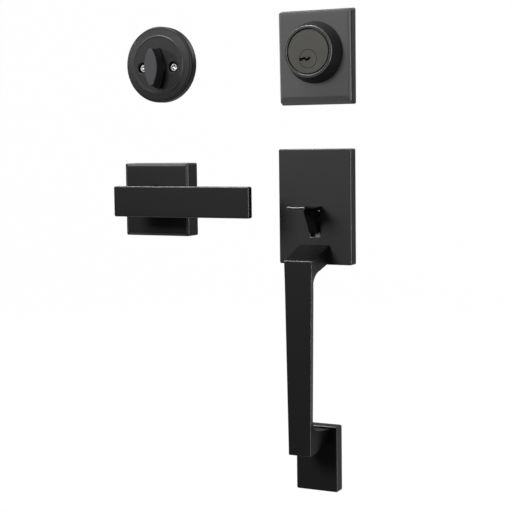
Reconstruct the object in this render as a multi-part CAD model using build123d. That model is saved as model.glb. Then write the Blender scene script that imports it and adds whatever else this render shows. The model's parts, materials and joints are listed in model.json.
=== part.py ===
# %% [markdown]
# # Entrance handleset, matt black
# One lock in four trims, laid out side by side: the outside deadbolt and the
# outside handleset at the right, and the two inside trims, a thumb-turn and a
# lever, at the left. Every trim is fixed to the same door face, the plane
# y = 0. Z is up, X runs across the door and -Y is out towards the hand.
# What stands out from the door is measured as "out", so y = -out.

# %% Imports
import math
import os

from build123d import *

os.makedirs("parts", exist_ok=True)

# %% [markdown]
# ## Driving sizes, in millimetres

# %% Layout
INSIDE_X = -146.0  # both inside trims, from the outside latch axis
LATCH_Z = 0.0  # height of both latch spindles
OUTSIDE_BOLT_Z = 116.8  # middle of the outside deadbolt plate
INSIDE_BOLT_Z = 116.0  # middle of the inside thumb-turn rose

# %% Shared sizes
WALL = 2.4  # cast cover wall
PLATE_STEEL = 1.8  # thickness of the pressed mounting plates
RUNNING = 0.05  # radial clearance of a shaft in its bearing
EASY = 0.4  # gap beside a part that only has to clear
PLATE_LIFT = 0.4  # mounting plates stand this far inside their covers
OVERRUN = 1.0  # how far a cutting shape runs past the metal it cuts
SMALL_EDGE = 0.8
CORNER = 1.4  # upright corners of the square castings
SPINDLE_SQUARE = 7.6
SPINDLE_REACH = 42.0  # how far a spindle or tailpiece reaches into the door
BOLT_D = 5.0
BOLT_HALF_PITCH = 20.0  # latch through bolts either side of the spindle
POST_D = 8.5
POST_REACH = 16.0
POST_THREAD_D = 4.2
POST_THREAD_END = 2.0  # how far out of the door the thread runs

# %% Outside deadbolt
DB_W, DB_H, DB_OUT = 66.0, 77.0, 8.0  # plate outline where it meets the door
DB_DRAFT = 1.5  # how much the sides lean in towards the front
CYL_RISE = 3.7  # cylinder axis above the middle of the plate
COLLAR_BASE_R, COLLAR_RIM_R, COLLAR_BORE_R = 25.0, 21.0, 18.5
COLLAR_OUT = 21.2
COLLAR_SPIGOT_R = 22.0
COLLAR_SPIGOT_OUT = 1.0
FACE_R = 17.75  # front disc of the cylinder
FACE_DEPTH = 2.6
FACE_SET_BACK = 0.4
HOUSING_INTO_DOOR = 8.0
PLUG_DROP = 5.8  # plug axis below the cylinder axis
PLUG_R = 6.4
PLUG_HEAD_R = 7.3
PLUG_HEAD_GAP = 0.35
PLUG_HEAD_DEPTH = 2.2
PLUG_TAIL = 2.2  # plug beyond the back of the housing
PLUG_END_GAP = 0.3  # between the housing and the plug's ring
PLUG_GROOVE = 0.9
KEYWAY_H = 3.0
KEYWAY_INNER = 2.0  # keyway past the plug axis
KEYWAY_END_SOLID = 4.0  # metal left behind the keyway
PIN_COUNT = 5
PIN_PITCH = 4.0
PIN_R = 1.4
PIN_CLEAR = 0.05
FIRST_PIN_DEPTH = 5.4  # first pin behind the cylinder face
KEY_PIN_LENGTHS = (4.6, 3.4, 4.2, 3.0, 3.8)
DRIVER_LENGTH = 2.6
SPRING_LENGTH = 3.4
STRIP_T, STRIP_W = 1.2, 3.8
CLIP_T = 1.0
WIRE_SIDES = 4  # spring wire is drawn four-sided
WIRE_PITCH = 1.25  # pitch of a coil, in wire thicknesses
LEG_SHARE = 0.6  # length of a spring leg, in coil radii
CLIP_STAND = 1.6  # snap ring beyond its shaft
TAIL_W, TAIL_T = 6.4, 2.2
DB_SCREW_HALF_PITCH = 15.1
DB_POST_D, DB_POST_REACH, DB_POST_THREAD_D = 7.0, 22.0, 3.3

# %% Inside thumb-turn
ROSE_R, ROSE_OUT = 32.5, 8.6
ROSE_RIM_R = 2.0
DISC_R, DISC_RISE = 24.6, 1.3  # raised inner disc
BEAD_W = 1.0
TURN_DROP = 2.8  # spindle axis below the middle of the rose
KNOB_OUT = 22.5
KNOB_W, KNOB_H = 12.6, 31.6  # front of the grip
KNOB_FLARE = 1.5  # extra half size where it meets its neck
KNOB_TIP = 3.2  # width of the cut ends
KNOB_EDGE = 0.6
KNOB_FOOT = 1.6  # gap between the rose and the back of the grip
NECK_R = 7.6
TURN_SHAFT_R = 6.0
BUSH_WALL = 1.2
BUSH_FLANGE_W, BUSH_FLANGE_T = 1.4, 0.8
TURN_GROOVE = 0.8
TURN_SHAFT_END = 1.0  # shaft beyond its ring
SCREW_HEAD_R, SCREW_HEAD_T = 3.8, 2.2
SCREW_D, SCREW_REACH = 4.0, 21.0
SCREW_SEAT_R = 4.7
SCREW_SEAT_WALL = 1.2
SCREW_HOLE_CLEAR = 0.25
SCREW_SINK = 1.5  # screw head below the face of the disc
PHILLIPS_SPAN, PHILLIPS_T, PHILLIPS_DEPTH = 4.6, 1.1, 1.3
PHILLIPS_ANGLES = (20, 110)
TURN_SPINDLE, TURN_SPINDLE_REACH, TURN_SPINDLE_IN_KNOB = 5.4, 30.0, 6.0
TURN_PLATE_HOLE = 2.0  # plate hole beyond the shaft

# %% Inside lever
LEVER_ROSE, LEVER_ROSE_OUT = 62.6, 16.6
LEVER_BEVEL, LEVER_BEVEL_DEPTH = 2.5, 0.9
BAR_LEFT, BAR_RIGHT = 20.2, 107.0  # bar ends from the spindle axis
BAR_H, BAR_T, BAR_OUT = 25.6, 6.4, 53.0
LEVER_NECK_R = 12.2
NECK_IN_ROSE = 3.4
HUB_R, HUB_GROOVE = 8.0, 1.0
HUB_FLANGE_R, HUB_FLANGE_T = 10.5, 1.6
HUB_TAIL = 2.4  # hub behind the door face, with the ring groove
HUB_RING_IN = 0.3  # ring behind the door face
CAGE_WALL = 1.4
CAGE_WINDOW = 10.0
LEVER_PLATE_R = 3.0
SPRING_WIRE = 1.3
SPRING_GAP = 1.2  # spring above the plate it sits on
LEVER_SPRING_TURNS = 2.5
SET_SCREW_D = 5.0
SET_SCREW_OUT = 24.0
SET_SCREW_SINK = 2.0  # below the neck's surface
SET_SCREW_SOCKET_R, SET_SCREW_SOCKET_DEPTH = 1.45, 2.5
SPINDLE_IN_LEVER = 4.0  # bar thickness kept in front of the spindle
BOLT_HEAD_R, BOLT_HEAD_T, BOLT_REACH = 4.6, 2.8, 30.0
BOLT_SLOT_L, BOLT_SLOT_W, BOLT_SLOT_DEPTH = 6.0, 1.2, 1.2

# %% Outside handleset
ESC_W, ESC_TOP, ESC_BOTTOM, ESC_OUT = 64.4, 42.4, -52.4, 9.8
THUMB_OUT = 48.4  # tip of the thumb tray
THUMB_TOP = -2.4  # height of the tray's raised edges
TRAY_W, TRAY_ROOT_W = 16.6, 14.0
TRAY_T = 3.2
TRAY_DISH_R = 22.0
RIB_T = 7.6
RIB_TOP_OUT, RIB_FOOT_OUT = 24.0, 12.8
RIB_FOOT_Z = -26.6
SLOT_CLEAR = 0.6
SLOT_BELOW = 3.2  # slot below the rib, for its swing
PIVOT_Z, PIVOT_OUT = -12.0, 3.7
PIVOT_PIN_D = 4.0
PIVOT_HUB_R = 3.4
LUG_INNER, LUG_OUTER = 6.8, 10.0
WINDOW_CLEAR = 1.2  # plate window round the lugs and the hub
TAIL_REACH = 15.0  # thumbpiece tail into the door
TAIL_DEPTH, TAIL_DROP = 2.6, 2.0  # tail height, and its middle below the pivot
FINGER_X0, FINGER_X1, FINGER_T = 6.6, 10.5, 2.0  # upright finger that lifts the cam's arm
FINGER_TOP_Z = -5.9
THUMB_WIRE, THUMB_SPRING_TURNS, THUMB_SPRING_GAP = 0.8, 2.0, 0.5
CAM_SHAFT_R, CAM_FLANGE_R = 5.8, 8.0
CAM_ARM_R, CAM_ARM_W, CAM_ARM_T, CAM_ARM_REST = 11.0, 6.0, 3.6, 18.0
CAM_END = 2.0  # shaft beyond its arm
LATCH_SPINDLE_OUT = 1.0  # front end of the latch spindle
CAM_SPRING_TURNS = 2.0
GRIP_OUT, GRIP_DEPTH = 44.8, 9.6
ARM_W, GRIP_TOP_W, GRIP_FOOT_W = 26.0, 24.0, 19.4
GRIP_SIDE_LEAN = 2.2  # how far each side of the grip leans in towards its back
ARM_TOP_Z, ARM_UNDER_Z = -36.2, -51.0
GRIP_TOP_Z, GRIP_FOOT_Z = -46.6, -205.0
THROAT_TOP_Z = GRIP_TOP_Z - 10.8  # inner corners of the grip
THROAT_FOOT_Z = GRIP_FOOT_Z + 18.6
THROAT_R = 9.0
FOOT_ARM_TOP_W, FOOT_ARM_LOW_W = 25.0, 14.0
FOOT_ARM_LOW_Z = GRIP_FOOT_Z + 1.4
FOOT_ARM_TOP_Z = FOOT_ARM_LOW_Z + 14.8
GRIP_SCREW_D, GRIP_SCREW_X, GRIP_SCREW_Z = 5.0, 6.6, -43.8
GRIP_SCREW_HEAD_R, GRIP_SCREW_HEAD_T, GRIP_SCREW_BITE = 4.25, 4.0, 12.0
GRIP_SOCKET_R, GRIP_SOCKET_DEPTH = 2.3, 2.4
SPIGOT_R, SPIGOT_SHORT = 5.5, 0.6  # the spigot stops short of the door
SPIGOT_Z = FOOT_ARM_LOW_Z + 7.2
FOOT_W, FOOT_H, FOOT_OUT = 37.0, 55.2, 10.0
FOOT_Z = SPIGOT_Z - 18.2
FOOT_THREAD_D, FOOT_THREAD_DEPTH = 5.0, 18.0

# %% [markdown]
# ## Small helpers
# Everything is drawn on planes that lie in the door face and look outwards,
# so that a positive depth comes out of the door.


# %% Helper shapes
def facing(x=0.0, z=0.0, out=0.0):
    """A sketch plane parallel to the door, `out` in front of it."""
    return Plane(origin=(x, -out, z), x_dir=(1, 0, 0), z_dir=(0, -1, 0))


def block(x0, x1, out0, out1, z0, z1):
    """A box between two depths out of the door."""
    size = Box(x1 - x0, out1 - out0, z1 - z0)
    return Pos((x0 + x1) / 2, -(out0 + out1) / 2, (z0 + z1) / 2) * size


def rod(radius, out0, out1, x=0.0, z=0.0):
    """A round bar square to the door, from depth out0 to out1."""
    return extrude(facing(x, z, out0) * Circle(radius), out1 - out0)


def tube(outer, inner, out0, out1, x=0.0, z=0.0):
    """A sleeve square to the door."""
    ring = facing(x, z, out0) * (Circle(outer) - Circle(inner))
    return extrude(ring, out1 - out0)


def cross_rod(radius, x0, x1, out, z):
    """A round bar that runs across the door, along X."""
    face = Plane(origin=(x0, -out, z), x_dir=(0, 1, 0), z_dir=(1, 0, 0))
    return extrude(face * Circle(radius), x1 - x0)


def square_bar(side, out0, out1, x=0.0, z=0.0):
    """A square bar square to the door."""
    return block(x - side / 2, x + side / 2, out0, out1, z - side / 2, z + side / 2)


def turned(points, x=0.0, z=0.0):
    """A solid of revolution about an axis square to the door; points are (radius, out)."""
    outline = Plane(origin=(x, 0, z), x_dir=(1, 0, 0), z_dir=(0, 0, 1))
    profile = make_face(Polyline([(r, -out) for r, out in points], close=True))
    axis = Axis((x, 0, z), (0, 1, 0))
    return revolve(outline * profile, axis, 360)


SIDE_VIEW = Plane(origin=(0, 0, 0), x_dir=(0, -1, 0), z_dir=(-1, 0, 0))  # drawn as (out, z)


def side_profile(points, half_width):
    """A slab with a side view given as (out, z) points, half_width to each side of x = 0."""
    face = make_face(Polyline(points, close=True))
    return extrude(SIDE_VIEW * face, half_width, both=True)


def cover(width, height, depth, x, z, draft=0.0):
    """A cast cover: a shallow open box, its rim on the door, its front edges eased."""
    back = facing(x, z) * Rectangle(width, height)
    front = facing(x, z, depth) * Rectangle(width - 2 * draft, height - 2 * draft)
    shell = loft([back, front])
    corners = [e for e in shell.edges() if abs(e.center().Y + depth / 2) < depth / 4]
    shell = fillet(corners, CORNER)
    rim = shell.faces().sort_by(Axis.Y)[0].edges()
    shell = fillet(rim, SMALL_EDGE)
    inner_w = width - 2 * (WALL + draft)
    inner_h = height - 2 * (WALL + draft)
    return shell - extrude(facing(x, z) * Rectangle(inner_w, inner_h), depth - WALL)


def coil(radius, wire, turns, x, z, out0):
    """A close torsion spring around a shaft that is square to the door, with two straight legs."""
    pitch = wire * WIRE_PITCH
    path = facing(x, z, out0) * Helix(pitch, pitch * turns, radius)
    start = path.position_at(0)
    section = Plane(origin=start, z_dir=path.tangent_at(0)) * RegularPolygon(wire / 2, WIRE_SIDES)
    body = sweep(section, path, is_frenet=True)
    legs = []
    for spot in (0, 1):
        point = path.position_at(spot)
        run = path.tangent_at(spot) * (-1 if spot == 0 else 1)
        leg = Plane(origin=point, z_dir=run) * RegularPolygon(wire / 2, WIRE_SIDES)
        legs.append(extrude(leg, radius * LEG_SHARE))
    return body + legs[0] + legs[1]


def retaining_ring(inner, outer, out0, out1, x, z):
    """A snap ring with its gap at the bottom."""
    ring = tube(outer, inner, out0, out1, x, z)
    gap = block(x - inner * 0.35, x + inner * 0.35, out0, out1, z - outer * 1.1, z)
    return ring - gap


parts = {}

# %% [markdown]
# ## Outside deadbolt
# A drafted cover plate carries a tapered collar. The collar guards the
# cylinder housing, whose two threaded posts take the screws from the inside.

# %% Plate and collar
CYL_Z = OUTSIDE_BOLT_Z + CYL_RISE
PLUG_Z = CYL_Z - PLUG_DROP

plate = cover(DB_W, DB_H, DB_OUT, 0, OUTSIDE_BOLT_Z, DB_DRAFT)
plate -= rod(COLLAR_SPIGOT_R, DB_OUT - WALL, DB_OUT, 0, CYL_Z)
parts["deadbolt_plate"] = plate

collar_outline = [
    (COLLAR_BORE_R, COLLAR_SPIGOT_OUT),
    (COLLAR_SPIGOT_R, COLLAR_SPIGOT_OUT),
    (COLLAR_SPIGOT_R, DB_OUT),
    (COLLAR_BASE_R, DB_OUT),
    (COLLAR_BASE_R, DB_OUT + SMALL_EDGE),
    (COLLAR_RIM_R, COLLAR_OUT - SMALL_EDGE),
    (COLLAR_RIM_R - SMALL_EDGE, COLLAR_OUT),
    (COLLAR_BORE_R, COLLAR_OUT),
]
parts["deadbolt_collar"] = turned(collar_outline, 0, CYL_Z)

# %% Cylinder housing
face_out = COLLAR_OUT - FACE_SET_BACK
housing_back = -HOUSING_INTO_DOOR
housing = rod(COLLAR_BORE_R, housing_back, face_out - FACE_DEPTH, 0, CYL_Z)
housing += rod(FACE_R, face_out - FACE_DEPTH, face_out, 0, CYL_Z)
face_edge = housing.edges().filter_by(GeomType.CIRCLE).sort_by(Axis.Y)[0]
housing = chamfer(face_edge, SMALL_EDGE / 2)
housing -= rod(PLUG_R + RUNNING, housing_back, face_out, 0, PLUG_Z)
plug_seat = face_out - PLUG_HEAD_DEPTH - PLUG_HEAD_GAP
housing -= rod(PLUG_HEAD_R + PLUG_HEAD_GAP, plug_seat, face_out, 0, PLUG_Z)
for side in (-1, 1):
    post_x = side * DB_SCREW_HALF_PITCH
    housing += rod(DB_POST_D / 2, -DB_POST_REACH, housing_back, post_x, PLUG_Z)
    housing -= rod(DB_POST_THREAD_D / 2, -DB_POST_REACH, 0, post_x, PLUG_Z)

pin_outs = [face_out - FIRST_PIN_DEPTH - i * PIN_PITCH for i in range(PIN_COUNT)]
driver_x = PLUG_R + 2 * RUNNING
spring_x = driver_x + DRIVER_LENGTH
strip_x = spring_x + SPRING_LENGTH
for out in pin_outs:
    housing -= cross_rod(PIN_R + PIN_CLEAR, PLUG_R - OVERRUN, strip_x, out, PLUG_Z)
strip_span = (pin_outs[-1] - 2 * PIN_R, pin_outs[0] + 2 * PIN_R)
strip = block(
    strip_x, strip_x + STRIP_T, *strip_span, PLUG_Z - STRIP_W / 2, PLUG_Z + STRIP_W / 2
)
parts["cylinder_housing"] = housing - strip
parts["chamber_strip"] = strip

# %% Pins and their springs
key_pins, drivers, springs = [], [], []
pin_top = math.sqrt(PLUG_R**2 - PIN_R**2) - PIN_CLEAR
for out, length in zip(pin_outs, KEY_PIN_LENGTHS):
    pin = cross_rod(PIN_R, pin_top - length, pin_top, out, PLUG_Z)
    tip = pin.edges().sort_by(Axis.X)[0]
    key_pins.append(chamfer(tip, PIN_R * 0.5))
    drivers.append(cross_rod(PIN_R, driver_x, spring_x, out, PLUG_Z))
    outer = cross_rod(PIN_R - 2 * PIN_CLEAR, spring_x, strip_x, out, PLUG_Z)
    springs.append(outer - cross_rod(PIN_R * 0.6, spring_x, strip_x, out, PLUG_Z))
parts["key_pins"] = Compound(children=key_pins)
parts["driver_pins"] = Compound(children=drivers)
parts["pin_springs"] = Compound(children=springs)

# %% Plug with its keyway
plug_back = housing_back - PLUG_TAIL
plug = rod(PLUG_R, plug_back, face_out, 0, PLUG_Z)
plug += rod(PLUG_HEAD_R, face_out - PLUG_HEAD_DEPTH, face_out, 0, PLUG_Z)
half_key = KEYWAY_H / 2
keyway_outline = [
    (-PLUG_HEAD_R - OVERRUN, half_key * 0.6),
    (-PLUG_R * 0.72, half_key * 0.6),
    (-PLUG_R * 0.60, half_key),
    (-PLUG_R * 0.38, half_key),
    (-PLUG_R * 0.28, half_key * 0.2),
    (-PLUG_R * 0.05, half_key * 0.2),
    (PLUG_R * 0.06, half_key),
    (KEYWAY_INNER, half_key),
    (KEYWAY_INNER, -half_key * 0.1),
    (PLUG_R * 0.16, -half_key * 0.3),
    (0, -half_key),
    (-PLUG_R * 0.34, -half_key),
    (-PLUG_R * 0.44, -half_key * 0.3),
    (-PLUG_R * 0.62, -half_key * 0.3),
    (-PLUG_R * 0.72, -half_key),
    (-PLUG_HEAD_R - OVERRUN, -half_key),
]
keyway = facing(0, PLUG_Z, housing_back + KEYWAY_END_SOLID) * make_face(
    Polyline(keyway_outline, close=True)
)
plug -= extrude(keyway, face_out - housing_back - KEYWAY_END_SOLID)
pin_hole_start = KEYWAY_INNER - OVERRUN
for out in pin_outs:
    plug -= cross_rod(PIN_R + PIN_CLEAR, pin_hole_start, PLUG_R + OVERRUN, out, PLUG_Z)
ring_out = housing_back - PLUG_END_GAP
groove_r = PLUG_R - PLUG_GROOVE
plug -= tube(PLUG_R + OVERRUN, groove_r, ring_out - CLIP_T, ring_out, 0, PLUG_Z)
tail_socket = housing_back + KEYWAY_END_SOLID / 2
tail_half = TAIL_W / 2, TAIL_T / 2
tailpiece = block(
    -tail_half[1],
    tail_half[1],
    -SPINDLE_REACH,
    tail_socket,
    PLUG_Z - tail_half[0],
    PLUG_Z + tail_half[0],
)
parts["cylinder_plug"] = plug - tailpiece
parts["deadbolt_tailpiece"] = tailpiece
parts["plug_clip"] = retaining_ring(
    groove_r, PLUG_R + CLIP_STAND, ring_out - CLIP_T, ring_out, 0, PLUG_Z
)

# %% [markdown]
# ## Inside thumb-turn
# A pressed round rose with a raised disc. The knob turns in a bush a little
# below its middle, and two screws beside it pull the whole deadbolt together.

# %% Rose
TURN_Z = INSIDE_BOLT_Z - TURN_DROP
disc_out = ROSE_OUT + DISC_RISE
rim_step = ROSE_RIM_R * (1 - math.sqrt(0.5))
rose_outline = [
    (0, disc_out),
    (DISC_R - BEAD_W, disc_out),
    (DISC_R - BEAD_W / 2, disc_out + BEAD_W / 3),
    (DISC_R, disc_out - BEAD_W / 4),
    (DISC_R + BEAD_W / 2, ROSE_OUT + BEAD_W / 2),
    (ROSE_R - ROSE_RIM_R, ROSE_OUT),
    (ROSE_R - rim_step, ROSE_OUT - rim_step),
    (ROSE_R, ROSE_OUT - ROSE_RIM_R),
    (ROSE_R, 0),
    (ROSE_R - WALL, 0),
    (ROSE_R - WALL, ROSE_OUT - WALL - rim_step),
    (ROSE_R - WALL - rim_step, ROSE_OUT - WALL),
    (0, ROSE_OUT - WALL),
]
rose = turned(rose_outline, INSIDE_X, INSIDE_BOLT_Z)
bush_r = TURN_SHAFT_R + BUSH_WALL
rose -= rod(bush_r, ROSE_OUT - WALL, disc_out, INSIDE_X, TURN_Z)
seat_out = disc_out - SCREW_SINK - SCREW_HEAD_T
screw_xs = [INSIDE_X - DB_SCREW_HALF_PITCH, INSIDE_X + DB_SCREW_HALF_PITCH]
well_out = seat_out - WALL
for x in screw_xs:
    rose += rod(SCREW_SEAT_R + SCREW_SEAT_WALL, well_out, ROSE_OUT - WALL, x, TURN_Z)
    rose -= rod(SCREW_SEAT_R, seat_out, disc_out, x, TURN_Z)
    rose -= rod(SCREW_D / 2 + SCREW_HOLE_CLEAR, well_out, seat_out, x, TURN_Z)
parts["thumbturn_rose"] = rose

# %% Screws with their cross recess
screws = []
for x in screw_xs:
    head_out = seat_out + SCREW_HEAD_T
    screw = rod(SCREW_HEAD_R, seat_out, head_out, x, TURN_Z)
    screw = chamfer(screw.edges().sort_by(Axis.Y)[0], SMALL_EDGE)
    screw += rod(SCREW_D / 2, -SCREW_REACH, seat_out, x, TURN_Z)
    for angle in PHILLIPS_ANGLES:
        cut = Box(PHILLIPS_SPAN, PHILLIPS_DEPTH, PHILLIPS_T)
        turned_cut = Rot(0, angle, 0) * cut
        screw -= Pos(x, -head_out + PHILLIPS_DEPTH / 2, TURN_Z) * turned_cut
    screws.append(screw)
parts["thumbturn_screws"] = Compound(children=screws)

# %% Bush, knob, snap ring and spindle
bush_front = ROSE_OUT - WALL
bush_back = bush_front - BUSH_FLANGE_T
bush_bore = TURN_SHAFT_R + RUNNING
bush = tube(bush_r, bush_bore, bush_back, disc_out, INSIDE_X, TURN_Z)
bush += tube(bush_r + BUSH_FLANGE_W, bush_bore, bush_back, bush_front, INSIDE_X, TURN_Z)
parts["thumbturn_bush"] = bush


def knob_outline(half_w, half_h, tip):
    """An upright leaf with cut ends, made of two shallow arcs."""
    left = ThreePointArc((-tip / 2, half_h), (-half_w, 0), (-tip / 2, -half_h))
    bottom = Line((-tip / 2, -half_h), (tip / 2, -half_h))
    right = ThreePointArc((tip / 2, -half_h), (half_w, 0), (tip / 2, half_h))
    top = Line((tip / 2, half_h), (-tip / 2, half_h))
    return make_face(Curve() + [left, bottom, right, top])


knob_back = disc_out + KNOB_FOOT
back_shape = knob_outline(KNOB_W / 2 + KNOB_FLARE / 2, KNOB_H / 2 + KNOB_FLARE, KNOB_TIP)
front_shape = knob_outline(KNOB_W / 2, KNOB_H / 2, KNOB_TIP)
knob = loft(
    [
        facing(INSIDE_X, TURN_Z, knob_back) * back_shape,
        facing(INSIDE_X, TURN_Z, KNOB_OUT) * front_shape,
    ]
)
front_edges = knob.faces().sort_by(Axis.Y)[0].edges()
knob = chamfer(front_edges, KNOB_EDGE)
knob += rod(NECK_R, disc_out + EASY, knob_back, INSIDE_X, TURN_Z)
turn_ring_out = bush_back - EASY
turn_ring_back = turn_ring_out - CLIP_T
shaft_back = turn_ring_back - TURN_SHAFT_END
turn_groove_r = TURN_SHAFT_R - TURN_GROOVE
knob += rod(TURN_SHAFT_R, shaft_back, disc_out + EASY, INSIDE_X, TURN_Z)
knob -= tube(
    TURN_SHAFT_R + OVERRUN, turn_groove_r, turn_ring_back, turn_ring_out, INSIDE_X, TURN_Z
)
turn_spindle = square_bar(
    TURN_SPINDLE, -TURN_SPINDLE_REACH, KNOB_OUT - TURN_SPINDLE_IN_KNOB, INSIDE_X, TURN_Z
)
parts["thumbturn_knob"] = knob - turn_spindle
parts["thumbturn_spindle"] = turn_spindle
parts["thumbturn_clip"] = retaining_ring(
    turn_groove_r, TURN_SHAFT_R + CLIP_STAND, turn_ring_back, turn_ring_out, INSIDE_X, TURN_Z
)

# %% Steel plate behind the rose
plate_back = well_out - PLATE_STEEL
turn_plate = rod(ROSE_R - WALL, plate_back, well_out, INSIDE_X, INSIDE_BOLT_Z)
turn_plate -= rod(TURN_SHAFT_R + TURN_PLATE_HOLE, plate_back, well_out, INSIDE_X, TURN_Z)
for x in screw_xs:
    turn_plate -= rod(SCREW_D / 2, plate_back, well_out, x, TURN_Z)
parts["thumbturn_plate"] = turn_plate

# %% [markdown]
# ## Inside lever
# A square rose hides the spring cage. The lever is one casting, a flat bar on
# a round neck, clamped to the spindle by a set screw underneath.

# %% Rose, with a shallow bevel round its face
lever_rose = cover(LEVER_ROSE, LEVER_ROSE, LEVER_ROSE_OUT - LEVER_BEVEL_DEPTH, INSIDE_X, LATCH_Z)
bevel_sides = []
for inset, out in ((SMALL_EDGE, LEVER_ROSE_OUT - LEVER_BEVEL_DEPTH), (LEVER_BEVEL, LEVER_ROSE_OUT)):
    side = LEVER_ROSE - 2 * inset
    outline = RectangleRounded(side, side, CORNER - SMALL_EDGE)
    bevel_sides.append(facing(INSIDE_X, LATCH_Z, out) * outline)
lever_rose += loft(bevel_sides)
neck_hole_r = LEVER_NECK_R + EASY
lever_rose -= rod(neck_hole_r, 0, LEVER_ROSE_OUT, INSIDE_X, LATCH_Z)
parts["lever_rose"] = lever_rose

# %% Lever: bar and neck in one
bar_back = BAR_OUT - BAR_T
lever = block(
    INSIDE_X - BAR_LEFT,
    INSIDE_X + BAR_RIGHT,
    bar_back,
    BAR_OUT,
    LATCH_Z - BAR_H / 2,
    LATCH_Z + BAR_H / 2,
)
lever = fillet(lever.edges().filter_by(Axis.Y), CORNER)
front_and_back = lever.faces().filter_by(Axis.Y).edges()
lever = fillet(front_and_back, SMALL_EDGE)
neck_back = LEVER_ROSE_OUT - NECK_IN_ROSE
lever += rod(LEVER_NECK_R, neck_back, bar_back + BAR_T / 2, INSIDE_X, LATCH_Z)
spindle_front = bar_back - SPINDLE_IN_LEVER
lever_spindle = square_bar(SPINDLE_SQUARE, -SPINDLE_REACH, spindle_front, INSIDE_X, LATCH_Z)
lever -= lever_spindle
screw_hole = Pos(INSIDE_X, -SET_SCREW_OUT, LATCH_Z - LEVER_NECK_R / 2)
lever -= screw_hole * Cylinder(SET_SCREW_D / 2, LEVER_NECK_R)
set_screw_len = LEVER_NECK_R - SPINDLE_SQUARE / 2 - SET_SCREW_SINK
set_screw_z = LATCH_Z - SPINDLE_SQUARE / 2 - set_screw_len / 2
set_screw = Pos(INSIDE_X, -SET_SCREW_OUT, set_screw_z) * Cylinder(SET_SCREW_D / 2, set_screw_len)
socket_z = LATCH_Z - SPINDLE_SQUARE / 2 - set_screw_len
socket = Plane(origin=(INSIDE_X, -SET_SCREW_OUT, socket_z)) * RegularPolygon(
    SET_SCREW_SOCKET_R, 6
)
set_screw -= extrude(socket, SET_SCREW_SOCKET_DEPTH)
parts["lever_handle"] = lever
parts["lever_spindle"] = lever_spindle
parts["lever_set_screw"] = set_screw

# %% Hub, plate, cage, spring and ring
lever_plate_out = PLATE_STEEL + PLATE_LIFT
cage_front = neck_back - EASY - HUB_FLANGE_T - EASY
flange_back = cage_front + EASY
hub = rod(HUB_R, -HUB_TAIL, flange_back, INSIDE_X, LATCH_Z)
hub += rod(HUB_FLANGE_R, flange_back, flange_back + HUB_FLANGE_T, INSIDE_X, LATCH_Z)
hub_groove_r = HUB_R - HUB_GROOVE
hub_ring_back = -HUB_RING_IN - CLIP_T
hub -= tube(HUB_R + OVERRUN, hub_groove_r, hub_ring_back, -HUB_RING_IN, INSIDE_X, LATCH_Z)
parts["lever_hub"] = hub - lever_spindle
parts["lever_circlip"] = retaining_ring(
    hub_groove_r, HUB_R + CLIP_STAND, hub_ring_back, -HUB_RING_IN, INSIDE_X, LATCH_Z
)

lever_plate = extrude(
    facing(INSIDE_X, LATCH_Z, PLATE_LIFT)
    * RectangleRounded(LEVER_ROSE - 2 * WALL, LEVER_ROSE - 2 * WALL, LEVER_PLATE_R),
    PLATE_STEEL,
)
lever_plate -= rod(HUB_R + RUNNING, PLATE_LIFT, lever_plate_out, INSIDE_X, LATCH_Z)
bolt_xs = [INSIDE_X - BOLT_HALF_PITCH, INSIDE_X + BOLT_HALF_PITCH]
for x in bolt_xs:
    lever_plate -= rod(BOLT_D / 2, PLATE_LIFT, lever_plate_out, x, LATCH_Z)
parts["lever_plate"] = lever_plate

cage_r = BOLT_HALF_PITCH - BOLT_HEAD_R - EASY
cage = rod(cage_r, lever_plate_out, cage_front, INSIDE_X, LATCH_Z)
cage -= rod(cage_r - CAGE_WALL, lever_plate_out, cage_front - CAGE_WALL, INSIDE_X, LATCH_Z)
cage -= rod(HUB_R + RUNNING, lever_plate_out, cage_front, INSIDE_X, LATCH_Z)
cage_window = block(
    INSIDE_X - CAGE_WINDOW / 2,
    INSIDE_X + CAGE_WINDOW / 2,
    lever_plate_out,
    cage_front - CAGE_WALL,
    LATCH_Z,
    LATCH_Z + cage_r,
)
parts["lever_cage"] = cage - cage_window
spring_r = (HUB_R + cage_r - CAGE_WALL) / 2
parts["lever_spring"] = coil(
    spring_r, SPRING_WIRE, LEVER_SPRING_TURNS, INSIDE_X, LATCH_Z, lever_plate_out + SPRING_GAP
)

bolts = []
for x in bolt_xs:
    bolt = rod(BOLT_HEAD_R, lever_plate_out, lever_plate_out + BOLT_HEAD_T, x, LATCH_Z)
    bolt += rod(BOLT_D / 2, -BOLT_REACH, lever_plate_out, x, LATCH_Z)
    slot_out = lever_plate_out + BOLT_HEAD_T
    slot = Box(BOLT_SLOT_L, BOLT_SLOT_DEPTH, BOLT_SLOT_W)
    bolts.append(bolt - Pos(x, -slot_out + BOLT_SLOT_DEPTH / 2, LATCH_Z) * slot)
parts["lever_bolts"] = Compound(children=bolts)

# %% [markdown]
# ## Outside handleset
# The escutcheon is a cast cover. The thumbpiece pivots on a pin between two
# lugs inside it and passes out through a slot. Its tail lifts the arm of a
# cam, and the cam turns the latch spindle.

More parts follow.
